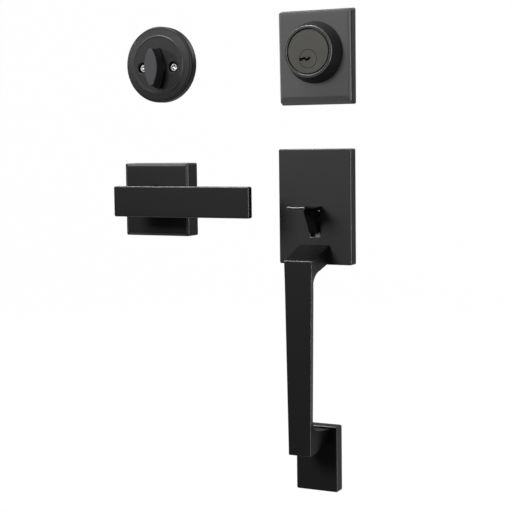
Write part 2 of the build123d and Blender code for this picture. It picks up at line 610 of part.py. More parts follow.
# %% Escutcheon
esc_h = ESC_TOP - ESC_BOTTOM
esc_z = (ESC_TOP + ESC_BOTTOM) / 2
esc_inside = ESC_OUT - WALL
escutcheon = cover(ESC_W, esc_h, ESC_OUT, 0, esc_z)
slot_half = RIB_T / 2 + SLOT_CLEAR
slot_top = THUMB_TOP - TRAY_T - SLOT_CLEAR
slot_foot = RIB_FOOT_Z - SLOT_BELOW
escutcheon -= block(-slot_half, slot_half, esc_inside - OVERRUN, ESC_OUT, slot_foot, slot_top)
for side in (-1, 1):
    lug_x = (side * LUG_INNER, side * LUG_OUTER)
    lug = block(
        min(lug_x),
        max(lug_x),
        PIVOT_OUT,
        esc_inside,
        PIVOT_Z - PIVOT_HUB_R,
        PIVOT_Z + PIVOT_HUB_R,
    )
    lug += cross_rod(PIVOT_HUB_R, min(lug_x), max(lug_x), PIVOT_OUT, PIVOT_Z)
    escutcheon += lug
    post_x = side * BOLT_HALF_PITCH
    escutcheon += rod(POST_D / 2, -POST_REACH, esc_inside, post_x, LATCH_Z)
    escutcheon -= rod(POST_THREAD_D / 2, -POST_REACH, POST_THREAD_END, post_x, LATCH_Z)
escutcheon -= cross_rod(PIVOT_PIN_D / 2, -LUG_OUTER, LUG_OUTER, PIVOT_OUT, PIVOT_Z)
for side in (-1, 1):
    screw_x = side * GRIP_SCREW_X
    escutcheon -= rod(GRIP_SCREW_D / 2, esc_inside, ESC_OUT, screw_x, GRIP_SCREW_Z)
parts["escutcheon"] = escutcheon
parts["thumb_pin"] = cross_rod(PIVOT_PIN_D / 2, -LUG_OUTER, LUG_OUTER, PIVOT_OUT, PIVOT_Z)

# %% Thumbpiece: dished tray, rib, hub, tail and finger in one casting
tray_root = ESC_OUT + SLOT_CLEAR
tray_mid = (tray_root + THUMB_OUT) / 2
nose_low = THUMB_TOP - TRAY_T - 2.0
tray_top = ThreePointArc(
    (tray_root, THUMB_TOP - 1.4), (tray_mid, THUMB_TOP - 2.2), (THUMB_OUT - 1.6, THUMB_TOP)
)
nose = ThreePointArc(
    (THUMB_OUT - 1.6, THUMB_TOP), (THUMB_OUT, THUMB_TOP - 2.4), (THUMB_OUT - 1.8, nose_low)
)
under_lip = Line((THUMB_OUT - 1.8, nose_low), (THUMB_OUT - 3.6, nose_low + 1.4))
under = ThreePointArc(
    (THUMB_OUT - 3.6, nose_low + 1.4),
    (tray_mid + 3, THUMB_TOP - 2.2 - TRAY_T),
    (tray_root, THUMB_TOP - 1.4 - TRAY_T - 1.0),
)
root = Line((tray_root, THUMB_TOP - 1.4 - TRAY_T - 1.0), (tray_root, THUMB_TOP - 1.4))
tray_side = make_face(Curve() + [tray_top, nose, under_lip, under, root])
tray = extrude(SIDE_VIEW * tray_side, TRAY_W, both=True)
tray_plan = make_face(
    Polyline(
        (-TRAY_ROOT_W / 2, -tray_root),
        (-TRAY_W / 2, -tray_mid),
        (-TRAY_W / 2, -THUMB_OUT - 1),
        (TRAY_W / 2, -THUMB_OUT - 1),
        (TRAY_W / 2, -tray_mid),
        (TRAY_ROOT_W / 2, -tray_root),
        close=True,
    )
)
tray &= extrude(Pos(0, 0, -30) * tray_plan, 60)
dish_depth = TRAY_DISH_R - math.sqrt(TRAY_DISH_R**2 - (TRAY_W / 2 - 0.8) ** 2)
dish_z = THUMB_TOP + TRAY_DISH_R - dish_depth
dish = Plane(origin=(0, -tray_root - 3, dish_z), x_dir=(1, 0, 0), z_dir=(0, -1, 0))
tray -= extrude(dish * Circle(TRAY_DISH_R), THUMB_OUT)

tray_under_z = THUMB_TOP - 1.4 - TRAY_T
rib_points = [
    (RIB_TOP_OUT, tray_under_z),
    (RIB_TOP_OUT - 0.6, tray_under_z - 3),
    (RIB_FOOT_OUT + 4.4, RIB_FOOT_Z + 8),
    (RIB_FOOT_OUT + 0.8, RIB_FOOT_Z + 1.2),
    (RIB_FOOT_OUT - 0.6, RIB_FOOT_Z),
    (ESC_OUT, RIB_FOOT_Z),
    (esc_inside, RIB_FOOT_Z + 1.4),
    (PIVOT_OUT + 1, PIVOT_Z - PIVOT_HUB_R),
    (PIVOT_OUT, PIVOT_Z),
    (PIVOT_OUT + 1, PIVOT_Z + PIVOT_HUB_R),
    (ESC_OUT, tray_under_z - 1.2),
    (tray_root + 1, tray_under_z),
]
rib = side_profile(rib_points, RIB_T / 2)
hub_half = RIB_T / 2
thumb = tray + rib + cross_rod(PIVOT_HUB_R, -hub_half, hub_half, PIVOT_OUT, PIVOT_Z)
tail_low = PIVOT_Z - TAIL_DROP - TAIL_DEPTH / 2
tail_top = tail_low + TAIL_DEPTH
finger_out = -TAIL_REACH + FINGER_T
thumb += block(-hub_half, hub_half, -TAIL_REACH, PIVOT_OUT, tail_low, tail_top)
thumb += block(-hub_half, FINGER_X1, -TAIL_REACH, finger_out, tail_low, tail_top)
thumb += block(FINGER_X0, FINGER_X1, -TAIL_REACH, finger_out, tail_low, FINGER_TOP_Z)
thumb -= cross_rod(PIVOT_PIN_D / 2 + RUNNING, -hub_half, hub_half, PIVOT_OUT, PIVOT_Z)
parts["thumbpiece"] = thumb

# %% Thumbpiece spring, wound on its pin
spring_pitch = THUMB_WIRE * WIRE_PITCH
spring_start = hub_half + THUMB_SPRING_GAP
spring_helix = Helix(
    spring_pitch, spring_pitch * THUMB_SPRING_TURNS, PIVOT_PIN_D / 2 + THUMB_WIRE
)
spring_axis = Plane(origin=(spring_start, -PIVOT_OUT, PIVOT_Z), x_dir=(0, 0, 1), z_dir=(1, 0, 0))
spring_path = spring_axis * spring_helix
wire = Plane(origin=spring_path @ 0, z_dir=spring_path % 0) * RegularPolygon(THUMB_WIRE / 2, WIRE_SIDES)
parts["thumb_spring"] = sweep(wire, spring_path, is_frenet=True)

# %% Cam, its plate and spring, and the latch spindle
cam_plate_out = PLATE_STEEL + PLATE_LIFT
cam = rod(CAM_FLANGE_R, cam_plate_out + EASY, esc_inside - EASY, 0, LATCH_Z)
cam_back = -TAIL_REACH - CAM_END
cam += rod(CAM_SHAFT_R, cam_back, cam_plate_out + EASY, 0, LATCH_Z)
arm = Rot(0, CAM_ARM_REST, 0) * Pos(CAM_ARM_R / 2, 0, 0) * Box(CAM_ARM_R, CAM_ARM_W, CAM_ARM_T)
cam += Pos(0, TAIL_REACH - CAM_ARM_W / 2, LATCH_Z) * arm
latch_spindle = square_bar(SPINDLE_SQUARE, -SPINDLE_REACH, LATCH_SPINDLE_OUT, 0, LATCH_Z)
parts["spindle_cam"] = cam - latch_spindle
parts["latch_spindle"] = latch_spindle

cam_plate = block(
    -ESC_W / 2 + WALL,
    ESC_W / 2 - WALL,
    PLATE_LIFT,
    cam_plate_out,
    ESC_BOTTOM + WALL,
    ESC_TOP - WALL,
)
cam_plate -= rod(CAM_SHAFT_R + RUNNING, PLATE_LIFT, cam_plate_out, 0, LATCH_Z)
window_half = PIVOT_HUB_R + WINDOW_CLEAR
cam_plate -= block(
    -LUG_OUTER - WINDOW_CLEAR,
    LUG_OUTER + WINDOW_CLEAR,
    PLATE_LIFT,
    cam_plate_out,
    PIVOT_Z - window_half,
    PIVOT_Z + window_half,
)
for side in (-1, 1):
    post_x = side * BOLT_HALF_PITCH
    cam_plate -= rod(POST_D / 2, PLATE_LIFT, cam_plate_out, post_x, LATCH_Z)
parts["handleset_plate"] = cam_plate
parts["cam_spring"] = coil(
    CAM_SHAFT_R + SPRING_WIRE,
    SPRING_WIRE,
    CAM_SPRING_TURNS,
    0,
    LATCH_Z,
    -SPRING_WIRE * (WIRE_PITCH * CAM_SPRING_TURNS + 1),
)

# %% Grip: one casting from the escutcheon down to the foot
grip_back = GRIP_OUT - GRIP_DEPTH
throat_top_end = THROAT_TOP_Z - THROAT_R
throat_low_end = THROAT_FOOT_Z + THROAT_R


def grip_front_width(z):
    """Width of the front face, which narrows evenly from top to foot."""
    share = (GRIP_TOP_Z - z) / (GRIP_TOP_Z - GRIP_FOOT_Z)
    return GRIP_TOP_W + share * (GRIP_FOOT_W - GRIP_TOP_W)


def grip_section(z, lean):
    """Level section of the grip: its front corners, then its narrower back corners."""
    front_half = grip_front_width(z) / 2
    back_half = front_half - lean
    points = [
        (-front_half, -GRIP_OUT),
        (front_half, -GRIP_OUT),
        (back_half, -grip_back),
        (-back_half, -grip_back),
    ]
    return Pos(0, 0, z) * make_face(Polyline(points, close=True))


grip = loft(
    [
        grip_section(GRIP_TOP_Z, 0),
        grip_section(THROAT_TOP_Z, 0),
        grip_section(throat_top_end, GRIP_SIDE_LEAN),
        grip_section(throat_low_end, GRIP_SIDE_LEAN),
        grip_section(GRIP_FOOT_Z, 0),
    ],
    ruled=True,
)
front_rim = [e for e in grip.edges() if abs(e.center().Y + GRIP_OUT) < 0.01]
grip = fillet(front_rim, SMALL_EDGE)


def arm_side(points):
    """Side view of an arm with one rounded inner corner, the third point given."""
    face = make_face(Polyline(points, close=True))
    inner = face.vertices().sort_by_distance((points[2][0], points[2][1], 0))[0]
    return extrude(SIDE_VIEW * fillet(inner, THROAT_R), ARM_W, both=True)


upper_arm = arm_side(
    [
        (GRIP_OUT - 2, throat_top_end - 2),
        (grip_back, throat_top_end - 2),
        (grip_back, THROAT_TOP_Z),
        (ESC_OUT, ARM_UNDER_Z),
        (ESC_OUT, ARM_TOP_Z),
        (GRIP_OUT, GRIP_TOP_Z),
        (GRIP_OUT - 2, GRIP_TOP_Z - 2),
    ]
)
upper_front = make_face(
    Polyline(
        (-ARM_W / 2, ARM_TOP_Z),
        (-grip_front_width(THROAT_TOP_Z) / 2, THROAT_TOP_Z),
        (-grip_front_width(throat_top_end) / 2 + GRIP_SIDE_LEAN, throat_top_end),
        (grip_front_width(throat_top_end) / 2 - GRIP_SIDE_LEAN, throat_top_end),
        (grip_front_width(THROAT_TOP_Z) / 2, THROAT_TOP_Z),
        (ARM_W / 2, ARM_TOP_Z),
        close=True,
    )
)
grip += upper_arm & extrude(facing() * upper_front, GRIP_OUT)

lower_arm = arm_side(
    [
        (GRIP_OUT - 2, throat_low_end + 2),
        (grip_back, throat_low_end + 2),
        (grip_back, THROAT_FOOT_Z),
        (FOOT_OUT, FOOT_ARM_TOP_Z),
        (FOOT_OUT, FOOT_ARM_LOW_Z),
        (grip_back, GRIP_FOOT_Z),
        (GRIP_OUT - 2, GRIP_FOOT_Z + 2),
    ]
)


def arm_section(out, low_w, top_w):
    """Section of the lower arm, from the foot of the grip up to the end of its inner corner."""
    points = [
        (-top_w / 2, throat_low_end),
        (top_w / 2, throat_low_end),
        (low_w / 2, GRIP_FOOT_Z),
        (-low_w / 2, GRIP_FOOT_Z),
    ]
    return facing(0, 0, out) * make_face(Polyline(points, close=True))


flare = (FOOT_ARM_TOP_W - FOOT_ARM_LOW_W) / (FOOT_ARM_TOP_Z - FOOT_ARM_LOW_Z)
foot_top_w = FOOT_ARM_LOW_W + flare * (throat_low_end - GRIP_FOOT_Z)
back_top_w = grip_front_width(throat_low_end) - 2 * GRIP_SIDE_LEAN
lower_sides = loft(
    [
        arm_section(FOOT_OUT, FOOT_ARM_LOW_W, foot_top_w),
        arm_section(grip_back, GRIP_FOOT_W, back_top_w),
    ],
    ruled=True,
)
grip += lower_arm & lower_sides
grip += rod(SPIGOT_R, SPIGOT_SHORT, FOOT_OUT, 0, SPIGOT_Z)
thread_end = SPIGOT_SHORT + FOOT_THREAD_DEPTH
grip -= rod(FOOT_THREAD_D / 2, SPIGOT_SHORT, thread_end, 0, SPIGOT_Z)

# %% Screws that hold the grip, from inside the escutcheon
grip_screws = []
screw_head_out = esc_inside - GRIP_SCREW_HEAD_T
for side in (-1, 1):
    x = side * GRIP_SCREW_X
    bite = ESC_OUT + GRIP_SCREW_BITE
    grip -= rod(GRIP_SCREW_D / 2, ESC_OUT, bite, x, GRIP_SCREW_Z)
    screw = rod(GRIP_SCREW_HEAD_R, screw_head_out, esc_inside, x, GRIP_SCREW_Z)
    screw += rod(GRIP_SCREW_D / 2, esc_inside, bite, x, GRIP_SCREW_Z)
    socket = facing(x, GRIP_SCREW_Z, screw_head_out) * RegularPolygon(GRIP_SOCKET_R, 6)
    grip_screws.append(screw - extrude(socket, GRIP_SOCKET_DEPTH))
parts["grip_screws"] = Compound(children=grip_screws)
parts["grip_handle"] = grip

# %% Foot plate, trapped between the lower arm and the door
foot = cover(FOOT_W, FOOT_H, FOOT_OUT, 0, FOOT_Z)
foot -= rod(SPIGOT_R, 0, FOOT_OUT, 0, SPIGOT_Z)
parts["foot_plate"] = foot

# %% Write every piece to its own file
for name, shape in parts.items():
    export_step(shape, f"parts/{name}.step")
    print(name, round(shape.volume, 1))
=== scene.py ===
# %% [markdown]
# # A door lock in black powder coat
# The lock has four trims: a deadbolt and a handleset for the outside of the
# door, and a thumb-turn and a lever for the inside. The exact solids come from
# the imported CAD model. Here they get their finishes. Five pieces of the trims
# and three springs are modelled again in finer form.

# %% Load the frame
import json
import math

import bmesh
import bpy
from mathutils import Matrix, Vector


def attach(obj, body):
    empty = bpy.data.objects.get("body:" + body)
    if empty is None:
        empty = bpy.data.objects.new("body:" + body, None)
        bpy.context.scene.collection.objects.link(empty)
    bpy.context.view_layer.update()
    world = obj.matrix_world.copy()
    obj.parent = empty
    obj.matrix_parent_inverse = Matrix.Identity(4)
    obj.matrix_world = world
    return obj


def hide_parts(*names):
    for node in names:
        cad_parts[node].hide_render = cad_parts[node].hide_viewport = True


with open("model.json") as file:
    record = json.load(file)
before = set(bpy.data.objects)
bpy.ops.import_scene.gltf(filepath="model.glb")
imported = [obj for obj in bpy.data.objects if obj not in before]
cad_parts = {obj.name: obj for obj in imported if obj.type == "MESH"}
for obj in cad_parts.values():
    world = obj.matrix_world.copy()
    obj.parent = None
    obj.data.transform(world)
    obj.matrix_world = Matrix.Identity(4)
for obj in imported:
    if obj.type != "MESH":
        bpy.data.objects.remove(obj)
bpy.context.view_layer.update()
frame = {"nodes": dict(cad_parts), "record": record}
nodes = frame["nodes"]

# %% [markdown]
# ## Working in millimetres
# The frame is in metres, but a locksmith thinks in millimetres. One scale value
# turns every size below into metres. Depth is measured out of the door, and the
# door face is the plane y = 0, so a point that stands 10 mm out has y = -0.010.

# %% Units and places
MM = 0.001
INSIDE_X = -146.0
OUTSIDE_BOLT_Z = 116.8
CYL_Z = 120.5
PLUG_Z = 114.7
TURN_Z = 113.2


def at(x, out, z):
    """A point given in millimetres across, out of the door, and up."""
    return Vector((x * MM, -out * MM, z * MM))


print("plug axis", at(0, 0, PLUG_Z))

# %% [markdown]
# ## The camera
# The lens and the place of the camera were worked out from the corners of the
# four trims in the photograph. The camera stands to the right of the lock,
# looks down a little and leans by less than a degree. Turning it first about
# the vertical and last about its own view keeps those three angles separate.

# %% Camera
VIEW_PLACE = (417.65, 971.61, 50.12)
VIEW_LENS, SENSOR_WIDTH, NEAR_CLIP = 89.9, 36.0, 0.01
VIEW_TURN, VIEW_DOWN, VIEW_LEAN = 26.13, 5.18, -0.74

lens_data = bpy.data.cameras.new("photo_camera")
lens_data.sensor_width = SENSOR_WIDTH
lens_data.lens = VIEW_LENS
lens_data.clip_start = NEAR_CLIP
camera = bpy.data.objects.new("photo_camera", lens_data)
turn = Matrix.Rotation(math.radians(VIEW_TURN), 4, "Z")
tilt = Matrix.Rotation(math.radians(90 - VIEW_DOWN), 4, "X")
lean = Matrix.Rotation(math.radians(VIEW_LEAN), 4, "Z")
camera.matrix_world = Matrix.Translation(at(*VIEW_PLACE)) @ turn @ tilt @ lean
bpy.context.scene.collection.objects.link(camera)
bpy.context.scene.camera = camera
print("camera", camera.location)

# %% [markdown]
# ## Light and ground
# Black paint shows its shape by what it mirrors. The lock hangs in front of a
# white sweep, which the sides of the castings mirror at a grazing angle, and it
# faces a dim room with large soft lamps. Each flat front face mirrors a spot of
# its own at the left. The sheen lamp stands above these spots and to their
# right, so the faces catch only the soft border of its reflection. A strip above
# and a strip at the right draw thin lights along the rounded edges. The sweep
# begins behind the lock, so that the undersides of the castings mirror the dim
# room and stay dark. Room and sweep are bright for the camera, and dimmer in
# what the paint mirrors.

# %% Maths helper
def arithmetic(group, operation, first, second=None, third=None):
    """A maths node; each operand is a socket or a number."""
    node = group.nodes.new("ShaderNodeMath")
    node.operation = operation
    for slot_index, value in enumerate((first, second, third)):
        if value is None:
            continue
        if isinstance(value, (int, float)):
            node.inputs[slot_index].default_value = value
        else:
            group.links.new(value, node.inputs[slot_index])
    return node.outputs[0]


# %% Room
scene = bpy.context.scene
scene.view_settings.view_transform = "Standard"

ROOM_LIGHT = 0.06
ROOM_MIRRORED = 0.10
SWEEP_MIRRORED = 0.36


def softbox(name, place, width, height, watts, aim=(-0.03, 0.0, 0.0), spread=180):
    """An area lamp that looks at a point, with its beam's full angle in degrees."""
    lamp = bpy.data.lights.new(name, "AREA")
    lamp.shape = "RECTANGLE"
    lamp.size = width
    lamp.size_y = height
    lamp.energy = watts
    lamp.spread = math.radians(spread)
    holder = bpy.data.objects.new(name, lamp)
    holder.location = place
    way = Vector(aim) - Vector(place)
    holder.rotation_euler = way.to_track_quat("-Z", "Y").to_euler()
    scene.collection.objects.link(holder)


# Each lamp has its place in metres, its width and height in metres and its watts.
softbox("sheen", (-0.50, -1.45, 0.62), 0.6, 0.5, 23.0)
softbox("snoot_left", (-1.0, -0.72, 0.36), 0.12, 0.12, 0.03, (-0.146, 0.0, 0.116), 10)
softbox("fill_right", (0.9, -1.6, 0.5), 0.7, 0.7, 0.8)
softbox("strip_above", (-0.50, -0.33, 1.1), 0.5, 1.1, 11.0)
softbox("strip_right", (1.25, -0.52, 0.0), 0.2, 1.1, 3.2)
softbox("back_light", (0.5, 1.3, 0.9), 0.9, 0.9, 8.0)

world = bpy.data.worlds.new("room")
world.use_nodes = True
scene.world = world
tree = world.node_tree
tree.nodes.clear()
out = tree.nodes.new("ShaderNodeOutputWorld")
white = tree.nodes.new("ShaderNodeBackground")
white.inputs["Color"].default_value = (1, 1, 1, 1)
dim = tree.nodes.new("ShaderNodeBackground")
dim.inputs["Color"].default_value = (1, 1, 1, 1)
dim.inputs["Strength"].default_value = ROOM_LIGHT
mix = tree.nodes.new("ShaderNodeMixShader")
path = tree.nodes.new("ShaderNodeLightPath")
seen = arithmetic(tree, "MAXIMUM", path.outputs["Is Camera Ray"], path.outputs["Is Transmission Ray"])
share = arithmetic(tree, "MULTIPLY_ADD", path.outputs["Is Glossy Ray"], ROOM_MIRRORED, seen)
tree.links.new(share, mix.inputs[0])
tree.links.new(dim.outputs[0], mix.inputs[1])
tree.links.new(white.outputs[0], mix.inputs[2])
tree.links.new(mix.outputs[0], out.inputs["Surface"])
print("lamps", len(bpy.data.lights))

# %% White sweep
SWEEP_FRONT, SWEEP_BACK, SWEEP_HALF = 0.5, 4.0, 6.0
SWEEP_FLOOR, SWEEP_TOP, SWEEP_BEND = -0.46, 5.0, 0.8
SWEEP_STEPS = 12
SWEEP_SHADE, SWEEP_GLOW, SWEEP_SEEN = 0.86, 1.04, 0.95
profile = [(SWEEP_FRONT, SWEEP_FLOOR)]
for step in range(SWEEP_STEPS + 1):
    bend = math.radians(90 * step / SWEEP_STEPS)
    profile.append(
        (
            SWEEP_BACK - SWEEP_BEND * (1 - math.sin(bend)),
            SWEEP_FLOOR + SWEEP_BEND * (1 - math.cos(bend)),
        )
    )
profile.append((SWEEP_BACK, SWEEP_TOP))
verts = [(side * SWEEP_HALF, y, z) for y, z in profile for side in (-1, 1)]
quads = [(2 * i, 2 * i + 1, 2 * i + 3, 2 * i + 2) for i in range(len(profile) - 1)]
sweep_mesh = bpy.data.meshes.new("sweep")
sweep_mesh.from_pydata(verts, [], quads)
sweep = bpy.data.objects.new("sweep", sweep_mesh)
scene.collection.objects.link(sweep)

paint = bpy.data.materials.new("white_sweep")
paint.use_nodes = True
tree = paint.node_tree
tree.nodes.clear()
out = tree.nodes.new("ShaderNodeOutputMaterial")
matt = tree.nodes.new("ShaderNodeBsdfDiffuse")
matt.inputs["Color"].default_value = (SWEEP_SHADE, SWEEP_SHADE, SWEEP_SHADE, 1)
glow = tree.nodes.new("ShaderNodeEmission")
glow.inputs["Strength"].default_value = SWEEP_GLOW
mix = tree.nodes.new("ShaderNodeMixShader")
path = tree.nodes.new("ShaderNodeLightPath")
seen = arithmetic(tree, "MAXIMUM", path.outputs["Is Camera Ray"], path.outputs["Is Transmission Ray"])
mirrored = arithmetic(tree, "MULTIPLY", path.outputs["Is Glossy Ray"], SWEEP_MIRRORED)
most = arithmetic(tree, "MAXIMUM", seen, mirrored)
share = arithmetic(tree, "MULTIPLY", most, SWEEP_SEEN)
tree.links.new(share, mix.inputs[0])
tree.links.new(matt.outputs[0], mix.inputs[1])
tree.links.new(glow.outputs[0], mix.inputs[2])
tree.links.new(mix.outputs[0], out.inputs["Surface"])
sweep_mesh.materials.append(paint)
print("sweep quads", len(quads))

# %% [markdown]
# ## Shared effects
# Powder coat isn't smooth paint: the grains melt into a fine orange peel, and
# the film is thinner on sharp edges, which look a little lighter. Steel plate
# keeps the streaks of the roll, and turned faces keep rings from the lathe.
# Peel, edges and rings serve several finishes, and the streaks could, so each is
# a node group with named inputs. All patterns are solid ones in object space, so
# nothing is unwrapped.
#
# The edge mask needs no painted map. A Bevel node gives the normal that a
# rounded edge would have. On a flat front or side that normal points straight
# out of the door or straight along it, and on an edge it lies in between. The
# mask is how far in between it lies. Onset leaves out faces that lean only a
# little, such as the drafted sides.

# %% Group helpers
def new_group(name, inputs, outputs):
    """An empty shader group with float inputs {name: value} and named float outputs."""
    group = bpy.data.node_groups.new(name, "ShaderNodeTree")
    for label, value in inputs.items():
        socket = group.interface.new_socket(label, in_out="INPUT", socket_type="NodeSocketFloat")
        socket.default_value = value
    for label in outputs:
        group.interface.new_socket(label, in_out="OUTPUT", socket_type="NodeSocketFloat")
    print("effect", name)
    return group, group.nodes.new("NodeGroupInput"), group.nodes.new("NodeGroupOutput")


def noise(group, vector, scale, detail):
    """A noise texture; `vector` and `scale` are the sockets that feed it."""
    texture = group.nodes.new("ShaderNodeTexNoise")
    texture.inputs["Detail"].default_value = detail
    group.links.new(vector, texture.inputs["Vector"])
    group.links.new(scale, texture.inputs["Scale"])
    return texture.outputs["Fac"]


# %% Orange peel
peel, given, result = new_group(
    "orange_peel",
    {"Grain Scale": 1500.0, "Cloud Scale": 40.0, "Cloud Amount": 0.1},
    ["Height", "Tone"],
)
place = peel.nodes.new("ShaderNodeTexCoord").outputs["Object"]
grain = noise(peel, place, given.outputs["Grain Scale"], 2.0)
cloud = noise(peel, place, given.outputs["Cloud Scale"], 3.0)
spread = arithmetic(peel, "SUBTRACT", cloud, 0.5)
tone = arithmetic(peel, "MULTIPLY_ADD", spread, given.outputs["Cloud Amount"], 1.0)
peel.links.new(grain, result.inputs["Height"])
peel.links.new(tone, result.inputs["Tone"])

# %% Rounded edges with a thin film
EDGE_SAMPLES, EDGE_CONTRAST = 8, 6.0
edges, given, result = new_group("edge_film", {"Radius": 0.0012, "Onset": 0.08}, ["Edge"])
edges.interface.new_socket("Normal", in_out="OUTPUT", socket_type="NodeSocketVector")
rounded = edges.nodes.new("ShaderNodeBevel")
rounded.samples = EDGE_SAMPLES
edges.links.new(given.outputs["Radius"], rounded.inputs["Radius"])
edges.links.new(rounded.outputs["Normal"], result.inputs["Normal"])
split = edges.nodes.new("ShaderNodeSeparateXYZ")
edges.links.new(rounded.outputs["Normal"], split.inputs[0])
front = arithmetic(edges, "ABSOLUTE", split.outputs["Y"])
square = arithmetic(edges, "MULTIPLY", front, front)
side = arithmetic(edges, "SQRT", arithmetic(edges, "SUBTRACT", 1.0, square))
plain = arithmetic(edges, "MAXIMUM", front, side)
bent = arithmetic(edges, "SUBTRACT", 1.0, plain)
beyond = arithmetic(edges, "SUBTRACT", bent, given.outputs["Onset"])
strong = arithmetic(edges, "MULTIPLY", beyond, EDGE_CONTRAST)
strong.node.use_clamp = True
edges.links.new(strong, result.inputs["Edge"])

# %% Lathe rings
rings, given, result = new_group(
    "lathe_rings", {"Centre X": 0.0, "Centre Z": 0.0, "Rings per Metre": 4000.0}, ["Height"]
)
place = rings.nodes.new("ShaderNodeTexCoord").outputs["Object"]
split = rings.nodes.new("ShaderNodeSeparateXYZ")
rings.links.new(place, split.inputs[0])
across = arithmetic(rings, "SUBTRACT", split.outputs["X"], given.outputs["Centre X"])
upward = arithmetic(rings, "SUBTRACT", split.outputs["Z"], given.outputs["Centre Z"])
square = arithmetic(rings, "MULTIPLY", across, across)
total = arithmetic(rings, "MULTIPLY_ADD", upward, upward, square)
radius = arithmetic(rings, "SQRT", total)
line = rings.nodes.new("ShaderNodeCombineXYZ")
rings.links.new(radius, line.inputs["X"])
turning = noise(rings, line.outputs[0], given.outputs["Rings per Metre"], 2.0)
rings.links.new(turning, result.inputs["Height"])

# %% Rolling streaks
streaks, given, result = new_group("roll_streaks", {"Streak Scale": 260.0, "Stretch": 0.04}, ["Height"])
place = streaks.nodes.new("ShaderNodeTexCoord").outputs["Object"]
split = streaks.nodes.new("ShaderNodeSeparateXYZ")
streaks.links.new(place, split.inputs[0])
long_way = arithmetic(streaks, "MULTIPLY", split.outputs["Z"], given.outputs["Stretch"])
squeeze = streaks.nodes.new("ShaderNodeCombineXYZ")
streaks.links.new(split.outputs["X"], squeeze.inputs["X"])
streaks.links.new(split.outputs["Y"], squeeze.inputs["Y"])
streaks.links.new(long_way, squeeze.inputs["Z"])
streak = noise(streaks, squeeze.outputs[0], given.outputs["Streak Scale"], 4.0)
streaks.links.new(streak, result.inputs["Height"])
print("effects", len(bpy.data.node_groups))

# %% [markdown]
# ## Finishes
# Each finish is one Principled shader. The coat takes its colour through the cloud tone, so that a
# large flat face isn't one dead value, and mixes towards a lighter grey where the edge mask says the
# film is thin. All the castings wear the same black coat. Six pieces get copies of it in other shades,
# matched to how much light each one catches. The five lighter copies are painted light, and the darker
# copy on the thumbpiece's rib is painted shade.

# %% Finish helpers
def new_finish(name):
    """A material with its node tree and its shader."""
    finish = bpy.data.materials.new(name)
    finish.use_nodes = True
    print("finish", name)
    return finish, finish.node_tree, finish.node_tree.nodes["Principled BSDF"]


def use_group(tree, group, **values):
    """A node for a shared effect, with some of its inputs set."""
    node = tree.nodes.new("ShaderNodeGroup")
    node.node_tree = group
    for label, value in values.items():
        node.inputs[label.replace("_", " ")].default_value = value
    return node


def raised(tree, shader, height, distance, strength, over=None):
    """Feeds a height pattern to a shader as a bump, over the surface or another normal."""
    bump = tree.nodes.new("ShaderNodeBump")
    bump.inputs["Distance"].default_value = distance
    bump.inputs["Strength"].default_value = strength
    tree.links.new(height, bump.inputs["Height"])
    if over:
        tree.links.new(over, bump.inputs["Normal"])
    tree.links.new(bump.outputs["Normal"], shader.inputs["Normal"])


def plain_colour(tree, shade):
    """A socket that gives one colour."""
    base = tree.nodes.new("ShaderNodeRGB")
    base.outputs[0].default_value = (*shade, 1)
    return base.outputs[0]


def clouded(tree, shader, colour, grain):
    """Feeds a colour to a shader, made a little uneven by the cloud tone."""
    tone = tree.nodes.new("ShaderNodeVectorMath")
    tone.operation = "SCALE"
    tree.links.new(colour, tone.inputs[0])
    tree.links.new(grain.outputs["Tone"], tone.inputs["Scale"])
    tree.links.new(tone.outputs["Vector"], shader.inputs["Base Color"])


# %% Powder coat
def powder_coat(name, shade, edge_shade, rough, gloss, bare=0.9):
    """Satin black coat: `shade` on faces, `edge_shade` and `bare` metal where it is thin."""
    finish, tree, shader = new_finish(name)
    shader.inputs["Specular IOR Level"].default_value = gloss
    grain = use_group(tree, peel)
    film = use_group(tree, edges)
    body = tree.nodes.new("ShaderNodeMix")
    body.data_type = "RGBA"
    body.inputs["A"].default_value = (*shade, 1)
    body.inputs["B"].default_value = (*edge_shade, 1)
    tree.links.new(film.outputs["Edge"], body.inputs["Factor"])
    clouded(tree, shader, body.outputs["Result"], grain)
    worn = arithmetic(tree, "MULTIPLY", film.outputs["Edge"], bare)
    tree.links.new(worn, shader.inputs["Metallic"])
    dull = arithmetic(tree, "MULTIPLY", grain.outputs["Tone"], rough)
    tree.links.new(dull, shader.inputs["Roughness"])
    normal = film.outputs["Normal"]
    raised(tree, shader, grain.outputs["Height"], distance=0.00003, strength=0.6, over=normal)
    return finish


EDGE_SHADE = (0.34, 0.34, 0.345)
coat = powder_coat("black_coat", (0.008, 0.008, 0.0085), EDGE_SHADE, 0.42, 0.17)
# The copies below are the one black coat in other shades. Plate, collar, rose, turn and cover are
# painted lighter where those pieces catch more light. Thumb is painted darker, as shade where the tray
# shades the rib.
plate_painted_light_coat = powder_coat("plate_painted_light_coat", (0.066, 0.066, 0.067), EDGE_SHADE, 0.45, 0.11)
collar_painted_light_coat = powder_coat("collar_painted_light_coat", (0.034, 0.034, 0.035), EDGE_SHADE, 0.38, 0.10)
rose_painted_light_coat = powder_coat("rose_painted_light_coat", (0.015, 0.015, 0.0155), (0.12, 0.12, 0.12), 0.38, 0.10, bare=0.5)
turn_painted_light_coat = powder_coat("turn_painted_light_coat", (0.032, 0.032, 0.036), (0.04, 0.04, 0.04), 0.42, 0.14, bare=0.1)
thumb_painted_shade_coat = powder_coat("thumb_painted_shade_coat", (0.006, 0.006, 0.006), (0.01, 0.01, 0.01), 0.45, 0.08, bare=0.1)
cover_painted_light_coat = powder_coat("cover_painted_light_coat", (0.022, 0.022, 0.0225), EDGE_SHADE, 0.42, 0.15)

# %% [markdown]
# ## Cylinder, metals and nylon
# The cylinder's face is a turned one under thin dark plating, so the rings of
# the lathe show in its shine. The hidden steel plates are zinc plated over the
# streaks of the roll. Springs, screws, brass and nylon take only the shared
# grain, because so little of them can be seen.

# %% Cylinder coat
CYLINDER_SHADE = (0.031, 0.030, 0.026)


